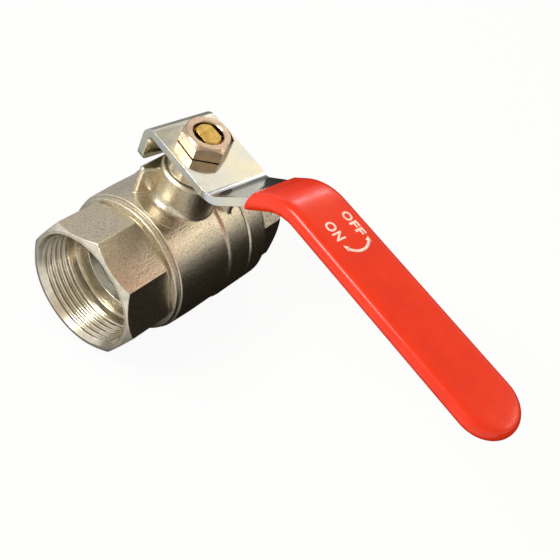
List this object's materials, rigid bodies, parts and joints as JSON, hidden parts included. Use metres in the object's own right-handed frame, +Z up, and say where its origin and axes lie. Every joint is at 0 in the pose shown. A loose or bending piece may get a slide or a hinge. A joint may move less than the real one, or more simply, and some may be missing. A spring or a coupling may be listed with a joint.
{
  "type": "ball valve",
  "caption": "Two-piece lever ball valve with octagonal threaded ends, floating ball, packed stem and a bent lever with a vinyl grip.",
  "frame": {"origin": "centre of the ball, where the stem axis crosses the pipe axis", "axes": "+X along the pipe from the integral end to the screwed-in end cap, +Z up the stem towards the lever nut, +Y completes the frame; the lever points towards -Y at rest"},
  "size_m": [0.0828, 0.1606, 0.1014],
  "materials": {
    "nickel_plated_brass": "nickel plated forged brass, satin, blasted grain",
    "bare_brass": "machined bare brass",
    "chromed_ball": "polished chrome plate",
    "zinc_plated_steel": "bright zinc plated steel strip",
    "nut_steel": "nickel plated steel, warm tone",
    "red_vinyl": "glossy red PVC with white lettering",
    "ptfe": "white PTFE"
  },
  "bodies": {
    "valve": {"valve_body": "nickel_plated_brass", "end_cap": "nickel_plated_brass", "body_joint_seal": "ptfe", "seat_ring_inlet": "ptfe", "seat_ring_outlet": "ptfe", "stem_thrust_washer": "ptfe", "stem_packing_lower": "ptfe", "stem_packing_upper": "ptfe", "packing_gland": "nickel_plated_brass"},
    "turning_set": {"ball": "chromed_ball", "valve_stem": "bare_brass", "lever": "zinc_plated_steel", "lever_grip": "red_vinyl", "lever_nut": "nut_steel"}
  },
  "joints": [
    {"name": "lever_turn", "type": "hinge", "parent": "valve", "child": "turning_set", "pos_m": [0, 0, 0], "axis": [0, 0, -1], "range_deg": [-8.4, 81.6]}
  ]
}
